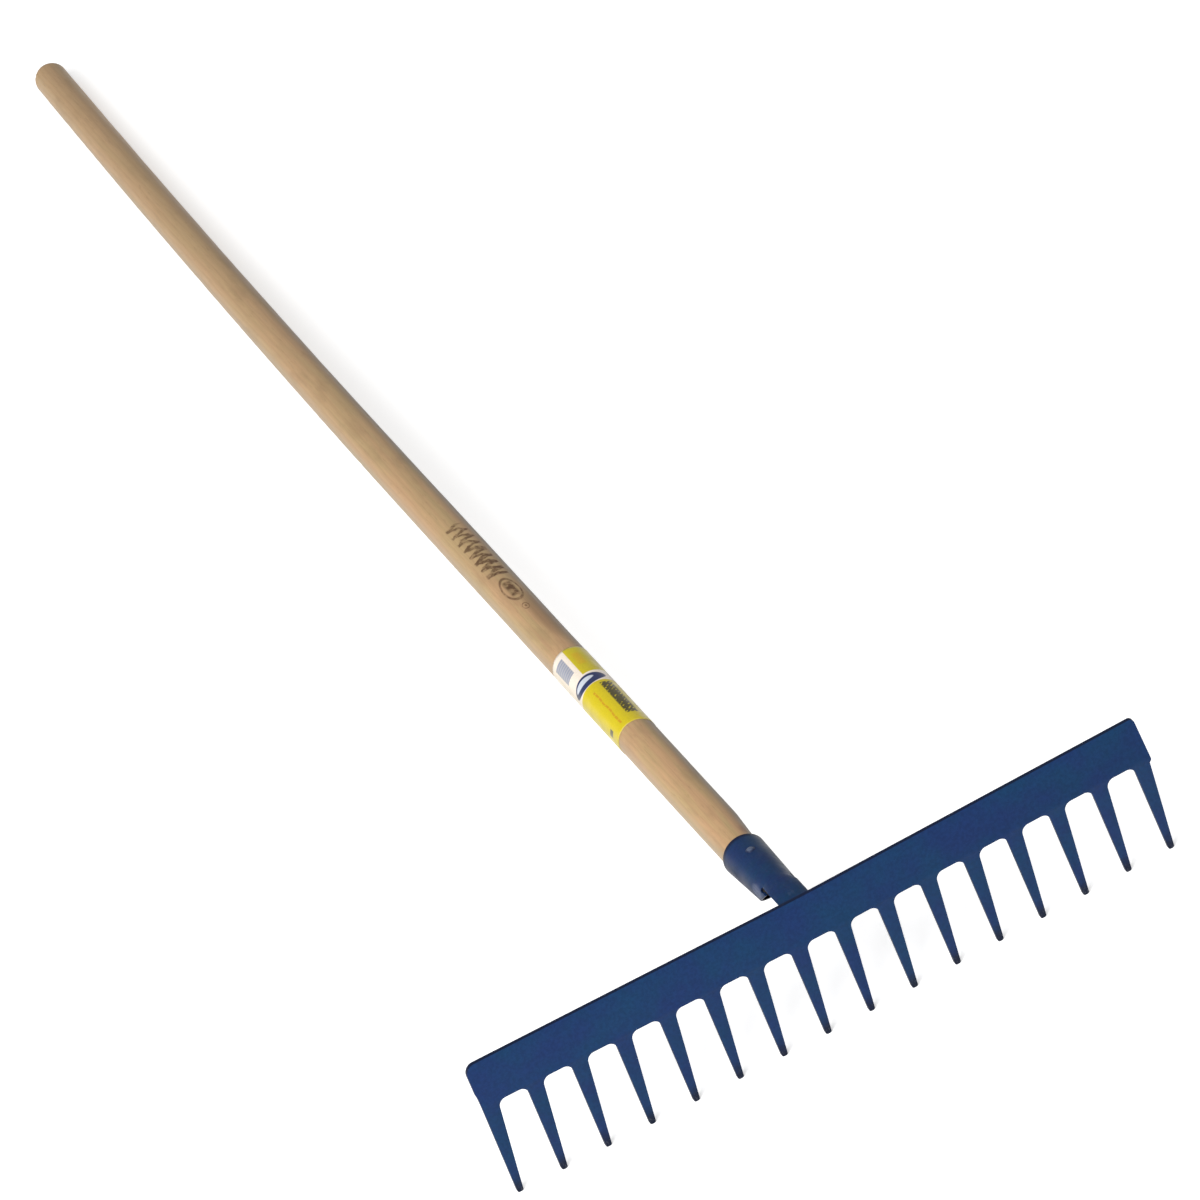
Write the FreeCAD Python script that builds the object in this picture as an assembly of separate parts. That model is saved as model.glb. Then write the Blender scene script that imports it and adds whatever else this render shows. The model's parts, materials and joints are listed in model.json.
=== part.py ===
"""Garden rake with a stamped sixteen-tine head, a rolled sheet-steel socket and a wooden handle.

The rake rests on its tine tips and on the far end of its handle, on the plane Z = 0.
+X runs along the head, +Y from the head to the handle's far end, +Z is up and the tines are vertical.
The origin is the middle of the bottom of the whole rake's box.  All sizes are in millimetres.
"""
import FreeCAD, Part
import math
import os

V = FreeCAD.Vector

# ---- driving dimensions -------------------------------------------------------------------------

# Head: one stamped plate, a bar with tines that taper to rounded tips.
tine_count = 16
root_pitch = 31.9              # from tine to tine along the bar
tip_pitch = 32.1               # and at the tips, because the tines fan out slightly
root_shift = 0.7               # the bar and the roots stand this far to +X of the tips and the handle
tine_length = 72.0             # tip to the bottom edge of the bar
tine_root_width = 11.6
tine_tip_width = 4.1
tine_tip_radius = 1.6
plate_thickness = 3.0
bar_height = 30.6              # bottom edge to top edge, along the plate
bar_lean = 12.0                # degrees that the bar leans back from the tines' plane
left_overhang = 0.5            # how far the -X end of the bar stands past its outer tine
left_flare = 0.0               # and how much further at its shoulder
left_shoulder_rise = 9.5       # how far above the gaps between the tines that shoulder is
left_step = 3.0                # height in which the outline steps in from the shoulder to the tine
right_overhang = 0.4           # the same at the +X end, which was sheared a little differently
right_flare = 1.3
right_shoulder_rise = -1.4
right_step = 1.7
left_corner_radius = 7.0       # top corners of the bar
right_corner_radius = 3.5
bottom_corner_radius = 2.5
gap_corner_radius = 5.5
bend_radius = 15.0             # inside radius of the bend between tines and bar
weld_zone = 15.0               # the weld has bent the head back within this distance of its middle
end_set_back = 4.5             # so that its straight halves reach this far back at their ends

# Handle: turned wood, measured along its own axis from the front face of the tines.
handle_start = 80.0            # the inner end, hidden in the socket
shaved_start = 165.0           # from here to the socket the wood is shaved thinner, more on its +X side
rim_wood_radius = 12.7         # wood where it enters the socket
rim_wood_shift = -1.1          # and how far its middle stands to the side there
handle_end = 1520.0
handle_diameter = 28.0
handle_end_diameter = 25.2
handle_parallel_end = 700.0    # a straight cylinder up to here; beyond, it tapers and bows slightly
bow_offset = 10.5              # sideways, at the far end
dome_length = 11.0
axis_height = 74.0             # height of the handle's axis where it meets the tines' plane
wood_clearance = 0.05

# Socket: rolled sheet, a tube that tapers with a level top line and opens into a flatter neck.
sheet_thickness = 1.5
socket_end = 122.5             # rim that the handle enters
socket_waist = 57.0
rim_radius = 15.4              # outer radius at the rim
rim_shift = -0.5               # the rim stands to the side of the neck's middle
rim_rounding = 0.5
waist_radius = 13.0            # outer radius at the waist
tube_end_run = 1.28            # the tube's end towards the bar is cut off aslant, this much run for each rise
tube_end_height = 6.9          # height above the handle's axis at which the cut passes the waist
relief_end = 61.5              # rounded notches part the tube's sides from the neck up to here
relief_height = 8.0            # the tube's sides reach up to this height beside the notches
neck_flat_from = 50.0          # the neck has its flatter section from here to the bar
neck_radius = 22.6
neck_half_angle = 28.8
seam_gap = 1.2

# Nail through the socket into the wood.
nail_position = 101.0
nail_head_diameter = 6.5
nail_head_height = 1.4
nail_shank_diameter = 3.2
nail_length = 19.0
nail_hole_clearance = 0.1

# Weld between neck and bar.
weld_leg = 3.2
weld_toe = 0.2                 # thickness to which the fillet runs out along the neck
weld_slope_end = 16.0          # where that would be, if the fillet weren't cut off at its leg

# Paper label wrapped round the shaft.
label_start = 307.5
label_end = 426.5
label_thickness = 0.2

# ---- worked out ---------------------------------------------------------------------------------

lean = math.radians(bar_lean)
outer_tine_edge = root_pitch * (tine_count - 1) / 2 + tine_root_width / 2
bar_half_length = outer_tine_edge + right_overhang
half_turn = math.atan(end_set_back / (bar_half_length - weld_zone / 2))
plan_radius = weld_zone / math.sin(half_turn)
handle_radius = handle_diameter / 2
end_radius = handle_end_diameter / 2
handle_slope = math.asin((axis_height - end_radius) / (handle_end - dome_length))


def line(start, end):
    return Part.LineSegment(start, end).toShape()


def arc(start, middle, end):
    return Part.Arc(start, middle, end).toShape()


def turned(points):
    """Solid of revolution about the local Y axis from (radius, y) points."""
    outline = Part.makePolygon([V(radius, y, 0) for radius, y in points + points[:1]])
    return Part.Face(outline).revolve(V(0, 0, 0), V(0, 1, 0), 360)


def ring(radius, x, y, z):
    """Circle square to the handle's axis."""
    return Part.Wire([Part.makeCircle(radius, V(x, y, z), V(0, 1, 0))])


def between(wires):
    """Solid with straight sides from each closed outline to the next."""
    return Part.makeLoft(wires, True, True)


def on_handle(shape):
    """Move a shape from the handle's own frame, axis along +Y from the tines' plane, to the rake's."""
    placed = shape.copy()
    placed.rotate(V(0, 0, 0), V(1, 0, 0), -math.degrees(handle_slope))
    placed.translate(V(0, 0, axis_height))
    return placed


# ---- head ---------------------------------------------------------------------------------------

def rounded_wire(corners):
    """Closed outline in the XZ plane from (x, z, radius) corners, each rounded by a tangent arc."""
    edges = []
    tangents = []
    for index, (x, z, radius) in enumerate(corners):
        corner = V(x, 0, z)
        before = V(corners[index - 1][0], 0, corners[index - 1][1])
        after = V(corners[(index + 1) % len(corners)][0], 0, corners[(index + 1) % len(corners)][1])
        to_before = (before - corner).normalize()
        to_after = (after - corner).normalize()
        if radius == 0:
            tangents.append((corner, corner))
            continue
        half_angle = to_before.getAngle(to_after) / 2
        reach = radius / math.tan(half_angle)
        bisector = (to_before + to_after).normalize()
        centre = corner + bisector * (radius / math.sin(half_angle))
        enter = corner + to_before * reach
        leave = corner + to_after * reach
        edges.append(arc(enter, centre - bisector * radius, leave))
        tangents.append((enter, leave))
    for index, (enter, _) in enumerate(tangents):
        previous_leave = tangents[index - 1][1]
        if previous_leave.distanceToPoint(enter) > 1e-6:
            edges.append(line(previous_leave, enter))
    return Part.Wire(Part.__sortEdges__(edges))


def comb_outline():
    """The stamped outline seen from the front: bar, tines and rounded gaps."""
    top = tine_length + bar_height * math.cos(lean)
    left_end = -outer_tine_edge - left_overhang + root_shift
    right_end = outer_tine_edge + right_overhang + root_shift
    left_shoulder = tine_length + left_shoulder_rise
    right_shoulder = tine_length + right_shoulder_rise
    corners = [
        (left_end, top, left_corner_radius),
        (left_end - left_flare, left_shoulder, bottom_corner_radius),
    ]
    for index in range(tine_count):
        place = index - (tine_count - 1) / 2
        root = place * root_pitch + root_shift
        tip = place * tip_pitch
        left_root = (tine_length, gap_corner_radius) if index > 0 else (left_shoulder - left_step, 0)
        last = index == tine_count - 1
        right_root = (right_shoulder - right_step, 0) if last else (tine_length, gap_corner_radius)
        corners.append((root - tine_root_width / 2, *left_root))
        corners.append((tip - tine_tip_width / 2, 0, tine_tip_radius))
        corners.append((tip + tine_tip_width / 2, 0, tine_tip_radius))
        corners.append((root + tine_root_width / 2, *right_root))
    corners.append((right_end + right_flare, right_shoulder, bottom_corner_radius))
    corners.append((right_end, top, right_corner_radius))
    return rounded_wire(corners)


def bend_point(radius, angle):
    """Point of the section that far from the middle of the bend between tines and bar."""
    centre = V(0, plate_thickness + bend_radius, tine_length - bend_radius * math.sin(lean) / 2)
    return centre + V(0, -radius * math.cos(angle), radius * math.sin(angle))


def plate_section():
    """Face of the bent plate's section, seen along the head: tines upright, bar leaning back."""
    up = V(0, math.sin(lean), math.cos(lean))
    outer = bend_radius + plate_thickness
    front_top = bend_point(outer, lean) + up * bar_height
    back_top = bend_point(bend_radius, lean) + up * bar_height
    return Part.Face(Part.Wire([
        line(V(0, 0, 0), bend_point(outer, 0)),
        arc(bend_point(outer, 0), bend_point(outer, lean / 2), bend_point(outer, lean)),
        line(bend_point(outer, lean), front_top),
        line(front_top, back_top),
        line(back_top, bend_point(bend_radius, lean)),
        arc(bend_point(bend_radius, lean), bend_point(bend_radius, lean / 2), bend_point(bend_radius, 0)),
        line(bend_point(bend_radius, 0), V(0, plate_thickness, 0)),
        line(V(0, plate_thickness, 0), V(0, 0, 0)),
    ]))


def along_head(section, half_length):
    """Solid swept along the head from its section at X = 0: bent in the weld zone, then straight."""
    pivot = V(0, plan_radius, 0)
    turn = math.degrees(half_turn)
    straight = half_length - weld_zone
    solids = []
    for side in (-1, 1):
        solids.append(section.revolve(pivot, V(0, 0, 1), side * turn))
        end = section.copy()
        end.rotate(pivot, V(0, 0, 1), side * turn)
        direction = V(side, math.tan(half_turn), 0)
        solids.append(end.extrude(direction * straight))
    return solids[0].fuse(solids[1:])


def make_head():
    """One plate: the bent section run along the head, trimmed to the stamped outline."""
    trimming = 10.0
    bent = along_head(plate_section(), bar_half_length + trimming)
    depth = plate_thickness + bar_height + end_set_back
    comb = Part.Face(comb_outline()).extrude(V(0, depth, 0))
    comb.translate(V(0, -plate_thickness, 0))
    return bent.common(comb).removeSplitter()


def in_front_of_bar_back(margin=0.0):
    """Block whose far side is the bar's back face, to trim what butts against it."""
    size = 60.0
    up = V(0, math.sin(lean), math.cos(lean)) * size
    forward = V(0, -math.cos(lean), math.sin(lean)) * size
    back = bend_point(bend_radius - margin, lean)
    corners = [back - up, back + up, back + up + forward, back - up + forward, back - up]
    return along_head(Part.Face(Part.makePolygon(corners)), size)


# ---- socket -------------------------------------------------------------------------------------

def tube_shape(y):
    """Outer radius, sideways place and height of the tube's section: its top line stays level."""
    share = (y - socket_waist) / (socket_end - socket_waist)
    radius = waist_radius + share * (rim_radius - waist_radius)
    return radius, share * rim_shift, rim_radius - radius


def tube_ring(y, inset=0.0):
    """Outline of the tube's skin, or of one that far inside it."""
    radius, x, z = tube_shape(y)
    return ring(radius - inset, x, y, z)


def neck_section(y, radius, half_angle, x=0.0, margin=0.0):
    """Arched strip with a level crown, seen along the handle, grown all round by a margin."""
    centre_z = rim_radius - radius
    outer = radius + margin
    inner = radius - sheet_thickness - margin
    half = math.radians(half_angle) + margin / radius

    def at(distance, angle):
        return V(x + distance * math.sin(angle), y, centre_z + distance * math.cos(angle))

    return Part.Wire([
        arc(at(outer, -half), at(outer, 0), at(outer, half)),
        line(at(outer, half), at(inner, half)),
        arc(at(inner, half), at(inner, 0), at(inner, -half)),
        line(at(inner, -half), at(outer, -half)),
    ])


def round_neck_half_angle():
    """Half angle at which the round start of the neck holds as much sheet as its flatter part."""
    return neck_half_angle * neck_radius / tube_shape(relief_end)[0]


def make_tube():
    """Tapered tube, open along a seam underneath, cut off aslant and notched towards the bar."""
    start = neck_flat_from
    lip = socket_end - rim_rounding
    outside = between([tube_ring(start), tube_ring(lip), tube_ring(socket_end, rim_rounding)])
    inside = between([tube_ring(start, sheet_thickness), tube_ring(socket_end, sheet_thickness)])
    tube = outside.cut(inside)
    reach = 2 * socket_waist
    seam = Part.makeBox(seam_gap, socket_end, reach, V(-seam_gap / 2, 1, -reach))
    above_sides = Part.makeBox(reach, relief_end, reach, V(-reach / 2, 0, relief_height))
    past_end = Part.makeBox(2 * reach, reach, 2 * reach, V(-reach, -reach, -reach))
    past_end.rotate(V(0, 0, 0), V(1, 0, 0), math.degrees(math.atan(tube_end_run)))
    past_end.translate(V(0, socket_waist, tube_end_height))
    tube = tube.cut(seam).cut(above_sides).cut(past_end)
    radius, x, z = tube_shape(relief_end)
    side_angle = math.degrees(math.acos((relief_height - z) / radius))
    notch_half = (side_angle - round_neck_half_angle()) / 2
    for side in (-1, 1):
        notch = Part.makeCylinder(radius * math.radians(notch_half), reach, V(0, 0, 0), V(0, 0, 1))
        notch.rotate(V(0, 0, 0), V(0, 1, 0), side * (side_angle - notch_half))
        notch.translate(V(x, relief_end, z))
        tube = tube.cut(notch)
    return tube


def make_socket():
    """Tube and neck, one rolled sheet, trimmed square to the back of the bar."""
    x = tube_shape(relief_end)[1]
    neck = between([
        neck_section(relief_end, tube_shape(relief_end)[0], round_neck_half_angle(), x),
        neck_section(neck_flat_from, neck_radius, neck_half_angle),
        neck_section(0, neck_radius, neck_half_angle),
    ])
    hole_radius = nail_shank_diameter / 2 + nail_hole_clearance
    nail_hole = Part.makeCylinder(hole_radius, 2 * rim_radius, nail_tip())
    body = make_tube().fuse(neck).cut(nail_hole)
    return on_handle(body).cut(in_front_of_bar_back())


def make_weld():
    """Fillet of weld metal all round the neck's end, on the back face of the bar."""
    bead = between([
        neck_section(0, neck_radius, neck_half_angle, margin=weld_leg),
        neck_section(weld_slope_end, neck_radius, neck_half_angle, margin=weld_toe),
    ])
    slab = in_front_of_bar_back(weld_leg).cut(in_front_of_bar_back())
    return on_handle(bead).common(slab).cut(make_socket())


# ---- handle -------------------------------------------------------------------------------------

def bow_at(y):
    """Sideways place and slope of the handle's axis along its bowed far half."""
    past = y - handle_parallel_end
    span = handle_end - handle_parallel_end
    return bow_offset * (past / span) ** 2, 2 * bow_offset * past / span ** 2


def shaft_radius(y):
    share = (y - handle_parallel_end) / (handle_end - dome_length - handle_parallel_end)
    return handle_radius + share * (end_radius - handle_radius)


def shaft_ring(y):
    """Circle square to the bowed axis."""
    x, slope = bow_at(y)
    return Part.Wire([Part.makeCircle(shaft_radius(y), V(x, y, 0), V(slope, 1, 0).normalize())])


def make_handle():
    """Turned shaft: shaved end in the socket, true cylinder, slow taper with a bow, domed end."""
    radius, x, z = tube_shape(handle_start)
    inner_radius = radius - sheet_thickness - wood_clearance
    chamfer = 1.0
    shaved = between([
        ring(inner_radius - chamfer, x, handle_start, z),
        ring(inner_radius, x, handle_start + chamfer, z),
        ring(rim_wood_radius, rim_wood_shift, socket_end, 0),
        ring(handle_radius, 0, shaved_start, 0),
    ])
    parallel_length = handle_parallel_end - shaved_start
    parallel = Part.makeCylinder(handle_radius, parallel_length, V(0, shaved_start, 0), V(0, 1, 0))
    dome_start = handle_end - dome_length
    ring_count = 8
    step = (dome_start - handle_parallel_end) / (ring_count - 1)
    rings = [shaft_ring(handle_parallel_end + index * step) for index in range(ring_count)]
    bowed = Part.makeLoft(rings, True)
    end_x, slope = bow_at(dome_start)
    ellipse = Part.Ellipse(V(0, 0, 0), end_radius, dome_length)
    quarter = Part.Edge(ellipse, 0, math.pi / 2)
    section = Part.Face(Part.Wire([
        quarter,
        line(V(0, dome_length, 0), V(0, 0, 0)),
        line(V(0, 0, 0), V(end_radius, 0, 0)),
    ]))
    dome = section.revolve(V(0, 0, 0), V(0, 1, 0), 360)
    dome.rotate(V(0, 0, 0), V(0, 0, 1), -math.degrees(math.atan(slope)))
    dome.translate(V(end_x, dome_start, 0))
    shaft = shaved.fuse([parallel, bowed, dome])
    pilot = Part.makeCylinder(nail_shank_diameter / 2, nail_length, nail_tip())
    return on_handle(shaft.cut(pilot))


def make_label():
    """Paper sleeve stuck round the cylindrical part of the shaft."""
    return on_handle(turned([
        (handle_radius, label_start),
        (handle_radius + label_thickness, label_start),
        (handle_radius + label_thickness, label_end),
        (handle_radius, label_end),
    ]))


# ---- nail ---------------------------------------------------------------------------------------

def nail_tip():
    """The nail's head rests on the socket's level top line, and its tip is its length below that."""
    return V(tube_shape(nail_position)[1], nail_position, rim_radius - nail_length)


def make_nail():
    """Round-headed nail, driven in from the top of the socket."""
    shank_radius = nail_shank_diameter / 2
    head_radius = nail_head_diameter / 2
    ball_radius = (head_radius ** 2 + nail_head_height ** 2) / (2 * nail_head_height)
    ball_centre = nail_head_height - ball_radius
    half_way = math.asin(head_radius / ball_radius) / 2
    crown = V(0, 0, nail_head_height)
    middle = V(ball_radius * math.sin(half_way), 0, ball_centre + ball_radius * math.cos(half_way))
    rim = V(head_radius, 0, 0)
    neck = V(shank_radius, 0, 0)
    foot = V(shank_radius, 0, -nail_length)
    tip = V(0, 0, -nail_length)
    outline = [arc(crown, middle, rim), line(rim, neck), line(neck, foot), line(foot, tip), line(tip, crown)]
    nail = Part.Face(Part.Wire(outline)).revolve(V(0, 0, 0), V(0, 0, 1), 360)
    nail.translate(nail_tip() + V(0, 0, nail_length))
    return on_handle(nail)


# ---- output -------------------------------------------------------------------------------------

def main():
    nodes = {
        "rake_head": make_head(),
        "handle_socket": make_socket(),
        "neck_weld": make_weld(),
        "socket_nail": make_nail(),
        "wooden_handle": make_handle(),
        "paper_label": make_label(),
    }
    box = FreeCAD.BoundBox()
    for shape in nodes.values():
        box.add(shape.optimalBoundingBox(False))
    centre = V(-(box.XMin + box.XMax) / 2, -(box.YMin + box.YMax) / 2, 0)
    os.makedirs("parts", exist_ok=True)
    for name, shape in nodes.items():
        placed = shape.copy()
        placed.translate(centre)
        placed.exportStep("parts/%s.step" % name)
        solids = len(placed.Solids)
        print("%-14s solids %d valid %s volume %.0f mm3" % (name, solids, placed.isValid(), placed.Volume))
    print("box X %.2f Y %.2f Z %.2f..%.2f" % (box.XLength, box.YLength, box.ZMin, box.ZMax))
    print("handle slope %.3f degrees" % math.degrees(handle_slope))
    print("shift %.3f %.3f" % (centre.x, centre.y))


main()
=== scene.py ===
"""Looks of a garden rake: blue stamped head, rolled steel socket, wooden handle with a paper label.

Lengths are metres in the CAD model's frame.  A place on the handle is given by "along", the distance
from the head's front along the handle's straight axis, and "angle", in degrees about that axis, from
the +X side at 0 over the top at 90 to the -X side at 180.
"""
import functools
import json
import math
import random

import bmesh
import bpy
from mathutils import Matrix, Vector, noise
from mathutils.bvhtree import BVHTree


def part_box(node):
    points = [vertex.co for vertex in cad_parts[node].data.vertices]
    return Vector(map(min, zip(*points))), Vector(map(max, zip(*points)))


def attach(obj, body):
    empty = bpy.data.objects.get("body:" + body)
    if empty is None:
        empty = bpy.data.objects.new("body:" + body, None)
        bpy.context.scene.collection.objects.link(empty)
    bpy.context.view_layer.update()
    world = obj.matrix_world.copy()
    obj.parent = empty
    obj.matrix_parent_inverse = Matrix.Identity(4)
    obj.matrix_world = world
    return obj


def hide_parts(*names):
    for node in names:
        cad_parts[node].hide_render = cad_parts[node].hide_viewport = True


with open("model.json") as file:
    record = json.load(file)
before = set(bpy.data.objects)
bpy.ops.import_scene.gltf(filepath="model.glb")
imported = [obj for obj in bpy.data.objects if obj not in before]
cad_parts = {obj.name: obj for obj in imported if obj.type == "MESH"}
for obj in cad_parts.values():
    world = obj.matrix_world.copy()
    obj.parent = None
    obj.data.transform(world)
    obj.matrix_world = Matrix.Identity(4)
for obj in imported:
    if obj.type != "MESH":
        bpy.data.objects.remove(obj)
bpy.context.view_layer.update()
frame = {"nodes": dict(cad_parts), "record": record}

scene = bpy.context.scene
MM = 0.001


# ---- places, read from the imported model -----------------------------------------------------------

def mount(name):
    return next(m for m in frame["record"]["mounts"] if m["name"] == name)


def cad_vertices(node):
    return [v.co.copy() for v in frame["nodes"][node].data.vertices]


def cad_surface(node):
    mesh = frame["nodes"][node].data
    return BVHTree.FromPolygons(cad_vertices(node), [tuple(p.vertices) for p in mesh.polygons])


# The handle's own directions, and the place on its axis that is level with the head's front.
SIDE = Vector((1, 0, 0))
AXIS = Vector(mount("shaft_grip")["axis"]).normalized()
UP = SIDE.cross(AXIS)
GRIP = Vector(mount("shaft_grip")["pos_m"])
ORIGIN = GRIP + AXIS * ((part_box("rake_head")[0].y - GRIP.y) / AXIS.y)
SHAFT_RADIUS = mount("shaft_grip")["dims"]["r_mm"] * MM
OUTSIDE = 40 * MM  # a distance from the middle that is clear of the shaft and the socket

# The mount is on one half of the bar, which is bent to a flat V, so only its y and z hold for the middle.
BAR_FRONT = Vector(mount("bar_front")["axis"])
BAR_FRONT.x = 0
BAR_FRONT.normalize()


def along_span(node):
    """Lowest and highest distance along the handle's axis of a CAD node."""
    distances = [(co - ORIGIN).dot(AXIS) for co in cad_vertices(node)]
    return min(distances), max(distances)


def outward(angle):
    """Direction away from the handle's axis."""
    turn = math.radians(angle)
    return SIDE * math.cos(turn) + UP * math.sin(turn)


def on_axis(along):
    return ORIGIN + AXIS * along


LABEL_START, LABEL_END = along_span("paper_label")
HANDLE_START, HANDLE_END = along_span("wooden_handle")
SOCKET_END = along_span("handle_socket")[1]


def smooth_step(value, low, high):
    share = min(1.0, max(0.0, (value - low) / (high - low)))
    return share * share * (3 - 2 * share)


# ---- colours and node trees -----------------------------------------------------------------------

def colour(red, green, blue):
    """Scene colour of a screen colour from 0 to 255."""
    def linear(value):
        value /= 255
        return value / 12.92 if value <= 0.04045 else ((value + 0.055) / 1.055) ** 2.4
    return linear(red), linear(green), linear(blue), 1.0


class Tree:
    """A material's node tree, with short names for the nodes that the materials below use.

    A mask is a value from 0 to 1.  Noise scales are per metre, and soft is the width of a border.
    """

    def __init__(self, name, **shader_values):
        self.material = bpy.data.materials.new(name)
        self.material.use_nodes = True
        self.nodes = self.material.node_tree.nodes
        self.links = self.material.node_tree.links
        self.shader = self.nodes["Principled BSDF"]
        self.finish(**shader_values)
        self.place = self.add("TexCoord").outputs["Object"]

    def add(self, kind, inputs=None, **settings):
        node = self.nodes.new("ShaderNode" + kind)
        for name, value in settings.items():
            setattr(node, name, value)
        for socket, value in (inputs or {}).items():
            self.feed(node.inputs[socket], value)
        return node

    def feed(self, socket, value):
        if isinstance(value, bpy.types.NodeSocket):
            self.links.new(value, socket)
        else:
            socket.default_value = value

    def finish(self, **inputs):
        """Sets the shader's inputs, written with _ for a space, and gives the material."""
        for socket, value in inputs.items():
            self.feed(self.shader.inputs[socket.replace("_", " ")], value)
        return self.material

    def calc(self, operation, *values):
        return self.add("Math", dict(enumerate(values)), operation=operation).outputs[0]

    def times(self, *values):
        """Product; of masks, 1 where all are."""
        return functools.reduce(functools.partial(self.calc, "MULTIPLY"), values)

    def highest(self, *values):
        """Maximum; of masks, 1 where any is."""
        return functools.reduce(functools.partial(self.calc, "MAXIMUM"), values)

    def vector(self, operation, *values):
        node = self.add("VectorMath", dict(enumerate(values)), operation=operation)
        return node.outputs["Value" if operation in ("DOT_PRODUCT", "LENGTH") else "Vector"]

    def facing(self, direction):
        """Cosine between the surface's normal and the direction."""
        normal = self.add("NewGeometry").outputs["Normal"]
        return self.vector("DOT_PRODUCT", normal, tuple(direction))

    def step(self, value, low, high, start=0.0, end=1.0):
        """Smooth change from start, where value is low, to end, where it is high."""
        sockets = {"Value": value, "From Min": low, "From Max": high, "To Min": start, "To Max": end}
        return self.add("MapRange", sockets, interpolation_type="SMOOTHSTEP").outputs[0]

    def band(self, value, low, high, soft):
        """Mask of the values between low and high."""
        enter = self.step(value, low - soft / 2, low + soft / 2)
        leave = self.step(value, high - soft / 2, high + soft / 2, 1.0, 0.0)
        return self.times(enter, leave)

    def mix(self, share, first, second, blend="MIX"):
        sockets = {0: share, 6: first, 7: second}
        return self.add("Mix", sockets, data_type="RGBA", blend_type=blend).outputs[2]

    def shaded(self, base, factor):
        return self.mix(1.0, base, factor, "MULTIPLY")

    def noise(self, place, scale, detail=2.0, roughness=0.5):
        sockets = {"Vector": place, "Scale": scale, "Detail": detail, "Roughness": roughness}
        return self.add("TexNoise", sockets).outputs[0]

    def stretched(self, place, x, y, z):
        """Place scaled by axis; noise read there is drawn out along an axis with a small factor."""
        return self.add("Mapping", {"Vector": place, "Scale": (x, y, z)}).outputs[0]

    def bump(self, height, depth, normal=None):
        """Relief of that depth in metres where height goes from 0 to 1."""
        node = self.add("Bump", {"Height": height, "Distance": depth, "Strength": 1.0})
        if normal is not None:
            self.feed(node.inputs["Normal"], normal)
        return node.outputs[0]

    def shaft_place(self):
        """Along, angle from -90 to 270, and a place vector of side, along and height."""
        offset = self.vector("SUBTRACT", self.place, tuple(ORIGIN))
        side, along, height = [self.vector("DOT_PRODUCT", offset, tuple(direction))
                               for direction in (SIDE, AXIS, UP)]
        turned = self.calc("ARCTAN2", self.times(side, -1.0), height)
        angle = self.calc("ADD", self.calc("DEGREES", turned), 90.0)
        return along, angle, self.add("CombineXYZ", {0: side, 1: along, 2: height}).outputs[0]

    def ellipse(self, along, angle, middle, half_size):
        """Squared distance from the middle of an ellipse drawn on the shaft, 1 on its outline."""
        parts = []
        for value, centre, half in zip((along, angle), middle, half_size):
            offset = self.calc("DIVIDE", self.calc("SUBTRACT", value, centre), half)
            parts.append(self.calc("POWER", offset, 2.0))
        return self.calc("ADD", *parts)


# ---- paint on the steel ---------------------------------------------------------------------------

TEAL_BLUE = colour(12, 48, 82)
VIOLET_BLUE = colour(18, 41, 84)
EDGE_NAVY = colour(5, 13, 40)
TIP_DARK = colour(8, 12, 28)
WORN_STEEL = colour(88, 92, 100)
STREAK_BLUE = colour(40, 54, 86)
RUBBED_BLUE = colour(72, 84, 112)
SIDE_SHADE_GREY = colour(40, 43, 52)
HIGHLIGHT_GREY = colour(96, 104, 126)
NAIL_BLUE = colour(24, 38, 70)
NAIL_GREY = colour(84, 94, 116)
# Middle and half size, along and in degrees, of the painted highlight near the notch.
SOCKET_HIGHLIGHT = ((69 * MM, 158), (9 * MM, 22))


def paint_base(tree, scale=1.0):
    """Blue that drifts between two hues, with the fine mottling of a sprayed and baked coat."""
    drift = tree.step(tree.noise(tree.place, 28 * scale, 3, 0.6), 0.3, 0.7)
    mottling = tree.step(tree.noise(tree.place, 420, 3, 0.7), 0.3, 0.7, 0.88, 1.12)
    return tree.shaded(tree.mix(drift, TEAL_BLUE, VIOLET_BLUE), mottling)


def orange_peel(tree, depth):
    """Relief of the paint: soft dimples, with the sheet's own slow waves under them."""
    waves = tree.bump(tree.noise(tree.place, 18, 2), 0.5 * MM)
    return tree.bump(tree.noise(tree.place, 900, 2, 0.4), depth, waves)


def paint_roughness(tree):
    """Satin, with duller smears."""
    smears = tree.noise(tree.stretched(tree.place, 1, 1, 0.4), 60, 4, 0.6)
    return tree.step(smears, 0.3, 0.75, 0.36, 0.55)


def head_paint():
    """Head: painted shade on the sheared edges, dark and rubbed towards the tips."""
    tree = Tree("blue_paint", Specular_IOR_Level=0.11, Coat_Weight=0.02, Coat_Roughness=0.25)
    # Painted shade: faces turned away from the bar's front and back, the plate's edges, are darkened to
    # navy; the same mask also places the chips.
    edge = tree.step(tree.calc("ABSOLUTE", tree.facing(BAR_FRONT)), 0.55, 0.93, 1.0, 0.0)
    base = tree.mix(tree.times(edge, 0.8), paint_base(tree), EDGE_NAVY)
    height = tree.add("SeparateXYZ", {0: tree.place}).outputs[2]
    uneven = tree.times(tree.noise(tree.place, 160, 3, 0.6), 8 * MM)
    above_tip = tree.calc("SUBTRACT", height, uneven)
    base = tree.mix(tree.step(above_tip, -2 * MM, 12 * MM, 0.85, 0.0), base, TIP_DARK)
    grain = tree.noise(tree.stretched(tree.place, 1, 1, 0.3), 1400, 3, 0.7)
    rubbed = tree.times(tree.step(height, 2 * MM, 9 * MM, 1.0, 0.0), tree.step(grain, 0.56, 0.64))
    chips = tree.times(edge, tree.step(tree.noise(tree.place, 520, 2), 0.71, 0.75))
    bare = tree.times(tree.highest(rubbed, chips), 0.55)
    base = tree.mix(bare, base, WORN_STEEL)
    roughness = tree.calc("ADD", paint_roughness(tree), tree.times(bare, 0.15))
    return tree.finish(Base_Color=base, Roughness=roughness, Normal=orange_peel(tree, 0.02 * MM))


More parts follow.
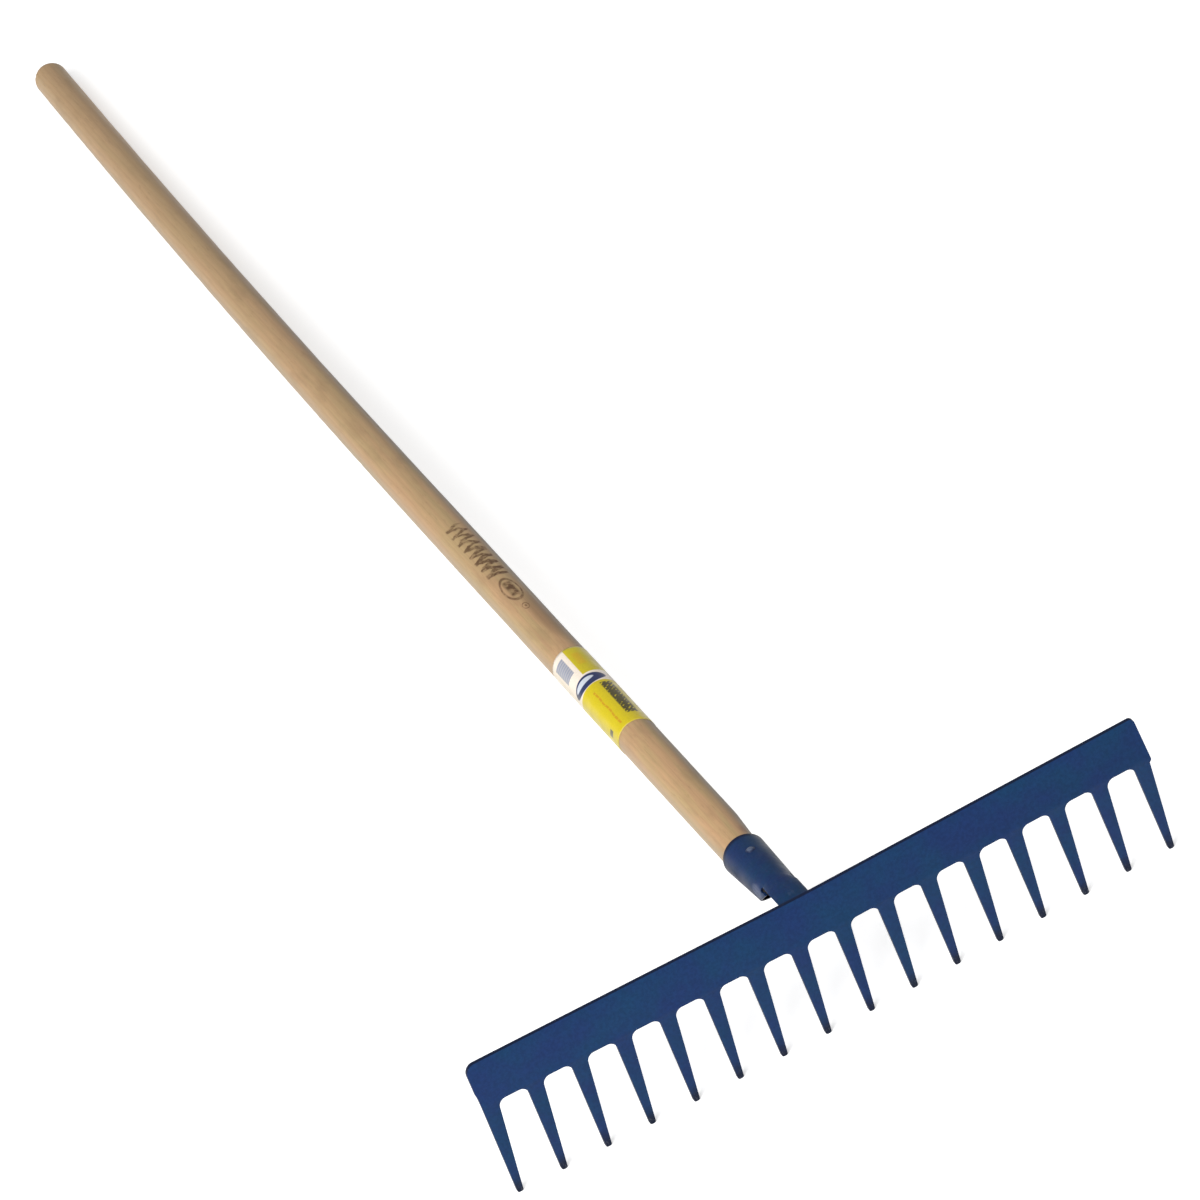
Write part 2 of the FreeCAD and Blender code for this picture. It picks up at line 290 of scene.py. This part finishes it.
def socket_paint():
    """Socket: the same blue, glossier, with dark cut edges, rolling marks and rubbed spots.

    Its right side is greyed and its left side darkened by painted shade, with a painted highlight near
    the notch.
    """
    tree = Tree("socket_paint", Specular_IOR_Level=0.13, Coat_Weight=0.03, Coat_Roughness=0.18)
    along, angle, place = tree.shaft_place()
    cut = tree.step(tree.calc("ABSOLUTE", tree.facing(AXIS)), 0.35, 0.75)
    rim = tree.step(along, SOCKET_END - 5.0 * MM, SOCKET_END - 1.5 * MM)
    base = tree.mix(tree.times(tree.highest(cut, rim), 0.92), paint_base(tree, 2.0), EDGE_NAVY)
    streaks = tree.noise(tree.stretched(place, 1, 0.12, 1), 700, 4, 0.65)
    base = tree.mix(tree.step(streaks, 0.52, 0.74, 0.0, 0.3), base, STREAK_BLUE)
    spots = tree.step(tree.noise(place, 95, 3, 0.6), 0.58, 0.7)
    rubbed = tree.times(spots, tree.step(streaks, 0.42, 0.6))
    base = tree.mix(tree.times(rubbed, 0.25), base, RUBBED_BLUE)
    # Painted shade: grey on the right side, dark navy on the left side.
    base = tree.mix(tree.step(angle, 18.0, 66.0, 0.75, 0.0), base, SIDE_SHADE_GREY)
    base = tree.mix(tree.step(angle, 135.0, 180.0, 0.0, 0.7), base, EDGE_NAVY)
    # Painted highlight near the notch, broken up by the rolling marks.
    notch_highlight = tree.step(tree.ellipse(along, angle, *SOCKET_HIGHLIGHT), 0.2, 1.0, 0.55, 0.0)
    base = tree.mix(tree.times(notch_highlight, tree.step(streaks, 0.35, 0.6, 0.4, 1.0)), base, HIGHLIGHT_GREY)
    roughness = tree.calc("ADD", tree.times(rubbed, 0.2), paint_roughness(tree))
    marks = tree.bump(streaks, 0.03 * MM, orange_peel(tree, 0.015 * MM))
    return tree.finish(Base_Color=base, Roughness=roughness, Normal=marks)


def weld_paint():
    """Weld: thick paint over the bead, with soot patches and grey specks."""
    tree = Tree("weld_paint", Specular_IOR_Level=0.2)
    soot = tree.step(tree.noise(tree.place, 260, 4, 0.7), 0.45, 0.7)
    base = tree.mix(tree.times(soot, 0.6), paint_base(tree, 3.0), EDGE_NAVY)
    specks = tree.step(tree.noise(tree.place, 1500, 2), 0.68, 0.74)
    base = tree.mix(tree.times(specks, 0.4), base, WORN_STEEL)
    roughness = tree.step(soot, 0.0, 1.0, 0.4, 0.6)
    relief = tree.bump(tree.noise(tree.place, 700, 4, 0.6), 0.12 * MM)
    return tree.finish(Base_Color=base, Roughness=roughness, Normal=relief)


def nail_paint():
    """Nail head: paint knocked thin by the hammer, so that grey steel shows, with a painted highlight
    greying the upward-facing crown further.
    """
    tree = Tree("nail_finish", Metallic=0.15, Specular_IOR_Level=0.3)
    # Painted highlight: the upward-facing crown is lightened, on top of the hammer wear.
    crown_highlight = tree.times(tree.step(tree.facing(UP), 0.75, 0.97), 0.35)
    wear_and_highlight = tree.step(tree.calc("ADD", tree.noise(tree.place, 900, 4, 0.7), crown_highlight), 0.5, 0.85)
    base = tree.mix(wear_and_highlight, NAIL_BLUE, NAIL_GREY)
    roughness = tree.step(wear_and_highlight, 0.0, 1.0, 0.5, 0.4)
    relief = tree.bump(tree.noise(tree.place, 1200, 3, 0.6), 0.06 * MM)
    return tree.finish(Base_Color=base, Roughness=roughness, Normal=relief)


# ---- wood -----------------------------------------------------------------------------------------

OLIVE_WOOD = colour(175, 149, 106)
WARM_WOOD = colour(184, 147, 109)
FAR_WOOD = colour(172, 143, 108)
LATE_WOOD = colour(140, 108, 70)
FLECK_BROWN = colour(124, 94, 60)
HANDLED_WOOD = colour(138, 112, 80)
KNOT_RED = colour(140, 84, 58)
SHADED_WOOD = colour(84, 68, 46)
LEFT_SHADE_WOOD = colour(140, 128, 108)
SHADE_PATCH_BROWN = colour(104, 76, 50)
END_BROWN = colour(126, 96, 66)
GRIME_BROWN = colour(96, 78, 60)
INSIDE_SOCKET_SHADE = colour(20, 17, 14)
SCORCHED = colour(74, 44, 24)

# Middle and half size of marks on the shaft, along and in degrees.
KNOT = ((SOCKET_END + 12 * MM, 52), (9 * MM, 22))
# A patch of painted shade on the upper right.
SHADE_PATCH = ((482 * MM, 66), (48 * MM, 34))

# The burnt ornament on the shaft: a zigzag, an oval with a bar in it and a round stamp.
ZIGZAG = (551 * MM, 637 * MM)
ZIGZAG_ANGLES = (58.0, 116.0)
ZIGZAG_PERIOD = 11 * MM
OVAL = ((528 * MM, 88), (17 * MM, 26))
OVAL_BAR = (518 * MM, 539 * MM)
OVAL_BAR_ANGLES = (74.0, 99.0)
STAMP = ((500 * MM, 89), (4.4 * MM, 10))

PITH_TO_AXIS = (0.075, 0.0, 0.04)  # the tree's pith lies this far to the left of the shaft and below it
RINGS_PER_METRE = 240.0


def burnt_ornament(tree, along, angle, place):
    """How deeply the wood is scorched, from 0 to 1."""
    wander = tree.times(tree.calc("SUBTRACT", tree.noise(place, 140, 3), 0.5), 8 * MM)
    shifted = tree.calc("ADD", along, wander)
    turns = tree.calc("DIVIDE", tree.calc("SUBTRACT", shifted, ZIGZAG[0]), ZIGZAG_PERIOD / 2)
    low, high = ZIGZAG_ANGLES
    across = tree.calc("DIVIDE", tree.calc("SUBTRACT", angle, low), high - low)
    from_line = tree.calc("ABSOLUTE", tree.calc("SUBTRACT", across, tree.calc("PINGPONG", turns, 1.0)))
    thick = tree.step(shifted, *ZIGZAG, 0.48, 0.34)
    line = tree.step(tree.calc("SUBTRACT", from_line, thick), -0.16, 0.08, 1.0, 0.0)
    inside = tree.times(tree.band(shifted, *ZIGZAG, 1.5 * MM),
                        tree.band(angle, low - 2.0, high + 2.0, 5.0))
    zigzag = tree.times(line, inside, tree.step(shifted, *ZIGZAG, 1.0, 0.85))
    ring = tree.times(tree.band(tree.ellipse(along, angle, *OVAL), 0.7, 1.08, 0.2), 0.8)
    bar = tree.times(tree.band(along, *OVAL_BAR, 4 * MM), tree.band(angle, *OVAL_BAR_ANGLES, 10.0))
    stamp = tree.ellipse(along, angle, *STAMP)
    stamp = tree.highest(tree.band(stamp, 0.6, 1.1, 0.25), tree.step(stamp, 0.05, 0.2, 1.0, 0.0))
    uneven = tree.step(tree.noise(place, 260, 3, 0.6), 0.3, 0.62, 0.35, 1.0)
    return tree.times(tree.highest(zigzag, ring, bar, tree.times(stamp, 0.8)), uneven)


def wood_grain(tree, place):
    """Late-wood lines of the growth rings, and fine fibres, both running along the shaft."""
    from_pith = tree.vector("ADD", tree.stretched(place, 1, 0.012, 1), PITH_TO_AXIS)
    bent = tree.times(tree.noise(tree.stretched(place, 6, 0.6, 6), 4, 3), 16 * MM)
    distance = tree.calc("ADD", tree.vector("LENGTH", from_pith), bent)
    rings = tree.calc("FRACT", tree.times(distance, RINGS_PER_METRE))
    late_wood = tree.times(tree.step(rings, 0.2, 0.9), tree.step(rings, 0.92, 1.0, 1.0, 0.0))
    fibres = tree.noise(tree.stretched(place, 1, 0.02, 1), 1900, 4, 0.6)
    return late_wood, fibres


def wood():
    """Pale hardwood under thin lacquer: growth rings, fibres, flecks, warm and olive patches."""
    tree = Tree("wood", Specular_IOR_Level=0.3, Coat_Weight=0.08, Coat_Roughness=0.35)
    along, angle, place = tree.shaft_place()

    patches = tree.step(tree.noise(tree.stretched(place, 12, 1, 12), 9, 3, 0.55), 0.36, 0.64)
    base = tree.mix(patches, OLIVE_WOOD, WARM_WOOD)
    base = tree.mix(tree.step(along, 0.25, 1.35, 0.0, 0.75), base, FAR_WOOD)
    late_wood, fibres = wood_grain(tree, place)
    base = tree.mix(tree.times(late_wood, 0.13), base, LATE_WOOD)
    base = tree.shaded(base, tree.step(fibres, 0.25, 0.75, 0.9, 1.07))
    flecks = tree.step(tree.noise(tree.stretched(place, 1, 0.1, 1), 1150, 1), 0.62, 0.74)
    base = tree.mix(tree.times(flecks, 0.22), base, FLECK_BROWN)
    handled = tree.noise(tree.stretched(place, 3, 1, 3), 22, 4, 0.6)
    base = tree.mix(tree.step(handled, 0.5, 0.72, 0.0, 0.3), base, HANDLED_WOOD)
    knot = tree.calc("SQRT", tree.ellipse(along, angle, *KNOT))
    base = tree.mix(tree.step(knot, 0.1, 1.0, 0.55, 0.0), base, KNOT_RED)

    # Painted shade: right side darker towards the socket, left side greyer all along.
    right_side_shade = tree.times(tree.step(angle, 22.0, 78.0, 1.0, 0.0),
                           tree.step(along, 0.7, 1.5, 0.97, 0.15))
    base = tree.mix(right_side_shade, base, SHADED_WOOD)
    base = tree.mix(tree.step(angle, 138.0, 178.0, 0.0, 0.5), base, LEFT_SHADE_WOOD)
    # Painted shade: a darker patch on the upper right.
    shade_patch = tree.ellipse(along, angle, *SHADE_PATCH)
    base = tree.mix(tree.step(shade_patch, 0.1, 1.0, 0.42, 0.0), base, SHADE_PATCH_BROWN)

    # Far end, the rim of grime at the socket, and painted shade on the wood that the socket hides.
    uneven_along = tree.calc("ADD", along, tree.times(fibres, 3 * MM))
    end_grain = tree.step(uneven_along, HANDLE_END - 8 * MM, HANDLE_END + 2 * MM, 0.0, 0.5)
    base = tree.mix(end_grain, base, END_BROWN)
    grime = tree.step(uneven_along, SOCKET_END - 1 * MM, SOCKET_END + 5 * MM, 0.6, 0.0)
    base = tree.mix(grime, base, GRIME_BROWN)
    # Painted shade on the wood inside the socket.
    inside_socket_shade = tree.step(along, SOCKET_END - 12 * MM, SOCKET_END - 5 * MM, 0.92, 0.0)
    base = tree.mix(inside_socket_shade, base, INSIDE_SOCKET_SHADE)

    scorch = burnt_ornament(tree, along, angle, place)
    base = tree.mix(tree.times(scorch, 0.9), base, SCORCHED)
    dryness = tree.calc("ADD", fibres, tree.times(scorch, 0.4))
    relief = tree.bump(fibres, 0.03 * MM, tree.bump(late_wood, 0.04 * MM))
    relief = tree.bump(tree.calc("SUBTRACT", 1.0, tree.highest(flecks, scorch)), 0.04 * MM, relief)
    roughness = tree.step(dryness, 0.2, 1.1, 0.42, 0.75)
    return tree.finish(Base_Color=base, Roughness=roughness, Normal=relief)


# ---- label ----------------------------------------------------------------------------------------

YELLOW = colour(204, 184, 10)
DULL_YELLOW = colour(196, 179, 24)
ORANGE = colour(206, 148, 12)
PAPER_WHITE = colour(234, 221, 206)
LINE_GREY = colour(134, 141, 160)
OVAL_BLUE = colour(34, 46, 90)
OVAL_PALE = colour(196, 202, 212)
STRIP_INK = colour(44, 40, 30)
DASH_ORANGE = colour(196, 140, 14)
BAR_GREY = colour(88, 84, 60)
SHADED_PAPER = colour(96, 80, 30)
LEFT_SHADE_PAPER = colour(120, 112, 60)
SCUFFED_PAPER = colour(196, 184, 150)

# The made-up layout: first and last millimetre past the label's start, lowest and highest angle.
DULL_PANEL = (80.5, 125.0, -62.0, 103.0)
ORANGE_CORE = (93.0, 110.0, 68.0, 90.0)
LINED_BOX = (89.5, 112.5, 117.0, 158.0)
SLASHED_STRIP = (12.5, 61.5, 49.0, 84.0)
DASHED_LINE = (6.0, 55.0, 115.0, 121.0)
SMALL_BAR = (10.0, 15.0, 150.0, 170.0)
LABEL_OVAL = ((LABEL_START + 72 * MM, 109), (6.6 * MM, 60))
OVAL_MIDDLE = ((LABEL_START + 73.5 * MM, 119), (2.8 * MM, 37))


def label_print():
    """Glossy printed paper with a made-up layout: yellow and white panels, an oval, bars and lines."""
    tree = Tree("label", Specular_IOR_Level=0.22, Coat_Weight=0.12, Coat_Roughness=0.15)
    along, angle, place = tree.shaft_place()

    def panel(first, last, low, high, soft=0.5 * MM, soft_angle=3.0, turned=angle):
        """Rectangle on the paper."""
        return tree.times(tree.band(along, LABEL_START + first * MM, LABEL_START + last * MM, soft),
                          tree.band(turned, low, high, soft_angle))

    def strokes(value, spacing, low, high, start=0.0, end=1.0):
        """Even strokes; the spacing is half of what they repeat at."""
        return tree.step(tree.calc("PINGPONG", value, spacing), low, high, start, end)

    white = tree.step(along, LABEL_START + 64.5 * MM, LABEL_START + 65.5 * MM)
    base = tree.mix(white, YELLOW, PAPER_WHITE)
    base = tree.mix(panel(*DULL_PANEL), base, DULL_YELLOW)
    base = tree.mix(tree.times(panel(*ORANGE_CORE, 4 * MM, 12.0), 0.4), base, ORANGE)
    rows = strokes(along, 1.5 * MM, 0.3 * MM, 1.2 * MM, 0.72, 0.96)
    base = tree.mix(tree.times(panel(*LINED_BOX), rows), base, LINE_GREY)
    oval = tree.ellipse(along, angle, *LABEL_OVAL)
    base = tree.mix(tree.step(oval, 0.9, 1.12, 1.0, 0.0), base, OVAL_BLUE)
    middle = tree.ellipse(along, angle, *OVAL_MIDDLE)
    base = tree.mix(tree.step(middle, 0.8, 1.1, 1.0, 0.0), base, OVAL_PALE)

    slanted = tree.calc("ADD", along, tree.times(angle, 0.3 * MM))
    slashes = strokes(slanted, 1.9 * MM, 0.5 * MM, 0.9 * MM)
    blots = tree.step(tree.noise(tree.stretched(place, 260, 420, 260), 1.0, 2, 0.6), 0.42, 0.5)
    strip = tree.times(panel(*SLASHED_STRIP, soft_angle=5.0), tree.highest(slashes, blots))
    base = tree.mix(tree.times(strip, 0.92), base, STRIP_INK)
    wavy = tree.calc("ADD", angle, tree.times(tree.noise(place, 90, 1), 8.0))
    dashes = strokes(along, 2.9 * MM, 0.2 * MM, 0.8 * MM, 0.25, 0.85)
    base = tree.mix(tree.times(panel(*DASHED_LINE, turned=wavy), dashes), base, DASH_ORANGE)
    base = tree.mix(panel(*SMALL_BAR), base, BAR_GREY)

    # Uneven ink, painted shade on the sides as on the wood, and scuffed ends.
    ink = tree.step(tree.noise(place, 900, 3, 0.7), 0.3, 0.7, 0.93, 1.05)
    base = tree.shaded(base, ink)
    # Painted shade: darker on the right side, greyer on the left side.
    base = tree.mix(tree.step(angle, 18.0, 66.0, 0.62, 0.0), base, SHADED_PAPER)
    base = tree.mix(tree.step(angle, 138.0, 178.0, 0.0, 0.42), base, LEFT_SHADE_PAPER)
    ends = tree.highest(tree.step(along, LABEL_START, LABEL_START + 2 * MM, 1.0, 0.0),
                        tree.step(along, LABEL_END - 2 * MM, LABEL_END))
    scuffs = tree.times(ends, tree.step(tree.noise(place, 380, 3, 0.7), 0.42, 0.66, 0.15, 0.6))
    base = tree.mix(scuffs, base, SCUFFED_PAPER)
    roughness = tree.step(tree.noise(place, 120, 3), 0.3, 0.7, 0.3, 0.46)
    creases = tree.bump(tree.noise(tree.stretched(place, 1, 0.3, 1), 150, 3, 0.6), 0.12 * MM)
    relief = tree.bump(ink, 0.01 * MM, creases)
    return tree.finish(Base_Color=base, Roughness=roughness, Normal=relief)


# ---- pieces ---------------------------------------------------------------------------------------

def new_piece(name, mesh, material, slot, *nodes):
    """Object that rides on the rake and stands for the CAD nodes named."""
    piece = bpy.data.objects.new(name, mesh)
    scene.collection.objects.link(piece)
    mesh.materials.append(material)
    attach(piece, "root")
    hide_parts(*nodes)
    return piece


def finished_mesh(shape, name):
    """Smooth-shaded mesh of a bmesh, which is freed."""
    mesh = bpy.data.meshes.new(name)
    shape.to_mesh(mesh)
    shape.free()
    for polygon in mesh.polygons:
        polygon.use_smooth = True
    return mesh


FLAT_ANGLE = math.radians(0.5)
SAME_POINT = 0.002 * MM


def welded_copy(node):
    """The CAD node's mesh with shared corners and whole flat faces, ready to have its edges rounded."""
    shape = bmesh.new()
    shape.from_mesh(frame["nodes"][node].data)
    bmesh.ops.remove_doubles(shape, verts=shape.verts, dist=SAME_POINT)
    bmesh.ops.dissolve_limit(shape, angle_limit=FLAT_ANGLE, verts=shape.verts, edges=shape.edges)
    return finished_mesh(shape, node)


def round_edges(piece, width, segments, angle):
    """Rounds every edge sharper than the angle."""
    bevel = piece.modifiers.new("rounded_edges", "BEVEL")
    bevel.width = width
    bevel.segments = segments
    bevel.limit_method = "ANGLE"
    bevel.angle_limit = math.radians(angle)
    bevel.harden_normals = True
    bevel.miter_outer = "MITER_ARC"


def make_head():
    """Stamped plate with the rounded edges that shearing and thick paint leave."""
    head = new_piece("stamped_head", welded_copy("rake_head"), head_paint(), "blue_paint", "rake_head")
    round_edges(head, width=0.7 * MM, segments=3, angle=35)


def make_socket():
    """Rolled sheet with softened rims."""
    mesh = welded_copy("handle_socket")
    socket = new_piece("rolled_socket", mesh, socket_paint(), "socket_paint", "handle_socket")
    round_edges(socket, width=0.35 * MM, segments=2, angle=40)


def finish_nail():
    """The nail is shown as its CAD mesh."""
    nail = frame["nodes"]["socket_nail"]
    nail.data.materials[0] = nail_paint()


NECK_ANGLES = range(30, 152, 2)  # the socket's neck is an arch over the axis, open underneath
WELD_STEP = 1.5 * MM
WELD_SIZE = 2.3 * MM
WELD_VOXEL = 0.3 * MM
WELD_SEED = 4


def neck_outline():
    """Points all round the neck's section, just behind the bar, found on the CAD surface."""
    surface = cad_surface("handle_socket")
    centre = on_axis(along_span("neck_weld")[1] - 0.5 * MM)
    outer, inner = [], []
    for angle in NECK_ANGLES:
        direction = outward(angle)
        outer_hit = surface.ray_cast(centre + direction * OUTSIDE, -direction, OUTSIDE)[0]
        inner_hit = surface.ray_cast(centre, direction, OUTSIDE)[0]
        if outer_hit is not None and inner_hit is not None:
            outer.append(outer_hit)
            inner.append(inner_hit)
    return outer + inner[::-1]


def make_weld():
    """Bead of overlapping drops all round the neck's end, melted into one skin."""
    outline = neck_outline()
    # The weld's foremost points lie on the back of the bar.
    bar_back = max(co.dot(BAR_FRONT) for co in cad_vertices("neck_weld"))
    turn = BAR_FRONT.to_track_quat("Z", "Y").to_matrix().to_4x4()
    draw = random.Random(WELD_SEED)
    shape = bmesh.new()
    travelled = WELD_STEP
    for start, end in zip(outline, outline[1:] + outline[:1]):
        travelled += (end - start).length
        if travelled < WELD_STEP:
            continue
        travelled = 0
        centre = end + BAR_FRONT * (bar_back - end.dot(BAR_FRONT))
        size = WELD_SIZE * draw.uniform(0.9, 1.08)
        flattened = Matrix.Diagonal((1, 1, draw.uniform(0.75, 0.95), 1))
        drop = Matrix.Translation(centre) @ turn @ flattened
        bmesh.ops.create_icosphere(shape, subdivisions=3, radius=size, matrix=drop)
    weld = new_piece("weld_bead", finished_mesh(shape, "weld"), weld_paint(), "weld_paint", "neck_weld")
    skin = weld.modifiers.new("skin", "REMESH")
    skin.mode = "VOXEL"
    skin.voxel_size = WELD_VOXEL
    skin.use_smooth_shade = True
    relax = weld.modifiers.new("relax", "SMOOTH")
    relax.iterations = 2


def tube_mesh(name, rings):
    """Skin through rings of points, closed with a fan at both ends."""
    shape = bmesh.new()
    loops = [[shape.verts.new(point) for point in ring] for ring in rings]
    for first, second in zip(loops, loops[1:]):
        for index in range(len(first)):
            after = (index + 1) % len(first)
            shape.faces.new((first[index], first[after], second[after], second[index]))
    for loop in (loops[0], loops[-1]):
        middle = shape.verts.new(sum((v.co for v in loop), Vector()) / len(loop))
        for index in range(len(loop)):
            shape.faces.new((loop[index], loop[(index + 1) % len(loop)], middle))
    bmesh.ops.recalc_face_normals(shape, faces=shape.faces)
    return finished_mesh(shape, name)


RING_STEP = 6 * MM
RING_POINTS = 80
CENTRING_ROUNDS = 4
CAP_LENGTH = 12 * MM
CAP_RINGS = 14
HOLLOW_DEPTH = 0.16 * MM
HOLLOWS_ACROSS = 60  # noise scales per metre
HOLLOWS_ALONG = 22


def hollow(along, point):
    """Depth of the shallow hollows left by turning and sanding, none in the socket or under the label."""
    past_socket = smooth_step(along, SOCKET_END, SOCKET_END + 20 * MM)
    at_label = smooth_step(along, LABEL_START - 8 * MM, LABEL_START)
    past_label = smooth_step(along, LABEL_END, LABEL_END + 8 * MM)
    x, z = point.x * HOLLOWS_ACROSS, point.z * HOLLOWS_ACROSS
    slow = noise.noise(Vector((x, along * HOLLOWS_ALONG, z)))
    return HOLLOW_DEPTH * past_socket * (1 - at_label + past_label) * (0.5 + 0.5 * slow)


def make_shaft():
    """Wooden shaft: the CAD surface resampled by even rings, with slight hollows."""
    surface = cad_surface("wooden_handle")
    directions = [outward(360 * index / RING_POINTS) for index in range(RING_POINTS)]

    def skin_point(centre, aim):
        hit = surface.ray_cast(centre + aim * OUTSIDE, -aim, OUTSIDE)[0]
        return surface.find_nearest(centre + aim * SHAFT_RADIUS)[0] if hit is None else hit

    def ring(centre, tilt=0.0, axis=AXIS):
        """Points seen from the centre, square to the axis or tilted towards it."""
        aims = [direction * math.cos(tilt) + axis * math.sin(tilt) for direction in directions]
        return [skin_point(centre, aim) for aim in aims]

    def middle(along):
        """The section's own middle, because the shaft is bowed."""
        centre = on_axis(along)
        for _ in range(CENTRING_ROUNDS):
            points = ring(centre)
            offset = sum(points, Vector()) / len(points) - centre
            centre += offset - AXIS * offset.dot(AXIS)
        return centre

    def cap(along, axis):
        """Rings over an end, from near the station to the tip."""
        centre = middle(along)
        tilts = [math.pi / 2 * (index + 1) / (CAP_RINGS + 1) for index in range(CAP_RINGS)]
        return [ring(centre, tilt, axis) for tilt in tilts]

    steps = round((HANDLE_END - HANDLE_START - 2 * CAP_LENGTH) / RING_STEP)
    stations = [HANDLE_START + CAP_LENGTH + RING_STEP * index for index in range(steps + 1)]
    rings = cap(stations[0], -AXIS)[::-1]
    for along in stations:
        centre = middle(along)
        rings.append([p + (centre - p).normalized() * hollow(along, p) for p in ring(centre)])
    rings += cap(stations[-1], AXIS)
    new_piece("wooden_shaft", tube_mesh("shaft", rings), wood(), "wood", "wooden_handle")


PAPER = 0.15 * MM
GLUE = 0.01 * MM
LAP_GAP = 0.03 * MM
CURL = 0.12 * MM
WRINKLE = 0.03 * MM
LABEL_COLUMNS = 180
LABEL_LINES = 60

# Degrees: where the paper starts, underneath; and, counted from there, how far it goes, between which
# turns it climbs on to its own start, and over what last part it curls up.
LABEL_SEAM = 262
LABEL_TURN = 376
LAP_RISE = (342, 362)
CURL_TURN = 6


def make_label():
    """Paper wrapped once round the shaft, its last edge lapped over the first underneath."""
    shape = bmesh.new()
    grid = []
    for line in range(LABEL_LINES + 1):
        along = LABEL_START + (LABEL_END - LABEL_START) * line / LABEL_LINES
        row = []
        for column in range(LABEL_COLUMNS + 1):
            turned = LABEL_TURN * column / LABEL_COLUMNS
            lifted = (PAPER + LAP_GAP) * smooth_step(turned, *LAP_RISE)
            curl = CURL * smooth_step(turned, LABEL_TURN - CURL_TURN, LABEL_TURN)
            slow = noise.noise(Vector((turned / 30, along * 50, 0)))
            wrinkle = WRINKLE * (0.5 + 0.5 * slow)
            radius = SHAFT_RADIUS + GLUE + lifted + curl + wrinkle
            row.append(shape.verts.new(on_axis(along) + outward(LABEL_SEAM + turned) * radius))
        grid.append(row)
    for first, second in zip(grid, grid[1:]):
        for index in range(LABEL_COLUMNS):
            shape.faces.new((first[index], second[index], second[index + 1], first[index + 1]))
    mesh = finished_mesh(shape, "label")
    label = new_piece("wrapped_label", mesh, label_print(), "label", "paper_label")
    sheet = label.modifiers.new("paper", "SOLIDIFY")
    sheet.thickness = PAPER
    sheet.offset = 1


# ---- floor, light and camera ----------------------------------------------------------------------

WHITE = (1, 1, 1, 1)
FLOOR_HALF = 20
FLOOR_GLOW = 0.4
WORLD_STRENGTH = 0.47
KEY_PLACE = (-3.9, -4.1, 4.3)
KEY_SIZE = 4.5
KEY_POWER = 510

# Fitted to the tines, the bar and the shaft in the photograph.
CAMERA_PLACE = (-1.28017, -6.53892, 4.27725)
CAMERA_DEGREES = (54.8058, 17.1897, -23.7182)
CAMERA_LENS = 339.87
SENSOR_WIDTH = 36
CLIP_END = 100


def floor_paint():
    """White plastic sheet, lit a little from below so that shadows stay faint."""
    tree = Tree("floor", Specular_IOR_Level=0.1, Emission_Color=WHITE, Emission_Strength=FLOOR_GLOW)
    tone = tree.step(tree.noise(tree.place, 3, 3), 0.3, 0.7, 0.93, 0.95)
    shade = tree.add("CombineXYZ", {0: tone, 1: tone, 2: tone}).outputs[0]
    return tree.finish(Base_Color=shade, Roughness=0.9)


def make_floor():
    corners = [(x * FLOOR_HALF, y * FLOOR_HALF, 0) for x, y in ((-1, -1), (1, -1), (1, 1), (-1, 1))]
    mesh = bpy.data.meshes.new("floor")
    mesh.from_pydata(corners, [], [(0, 1, 2, 3)])
    mesh.materials.append(floor_paint())
    floor = bpy.data.objects.new("floor", mesh)
    scene.collection.objects.link(floor)


def make_light():
    """White surroundings, and one large soft light from the left in front."""
    world = bpy.data.worlds.new("studio")
    world.use_nodes = True
    background = world.node_tree.nodes["Background"]
    background.inputs["Color"].default_value = WHITE
    background.inputs["Strength"].default_value = WORLD_STRENGTH
    scene.world = world
    scene.view_settings.view_transform = "Standard"
    light = bpy.data.lights.new("key", "AREA")
    light.size = KEY_SIZE
    light.energy = KEY_POWER
    lamp = bpy.data.objects.new("key", light)
    lamp.location = KEY_PLACE
    lamp.rotation_euler = (-Vector(KEY_PLACE)).to_track_quat("-Z", "Y").to_euler()
    scene.collection.objects.link(lamp)


def make_camera():
    lens = bpy.data.cameras.new("camera")
    lens.sensor_width = SENSOR_WIDTH
    lens.lens = CAMERA_LENS
    lens.clip_end = CLIP_END
    camera = bpy.data.objects.new("camera", lens)
    camera.location = CAMERA_PLACE
    camera.rotation_euler = [math.radians(angle) for angle in CAMERA_DEGREES]
    scene.collection.objects.link(camera)
    scene.camera = camera


make_head()
make_socket()
make_weld()
finish_nail()
make_shaft()
make_label()
make_floor()
make_light()
make_camera()
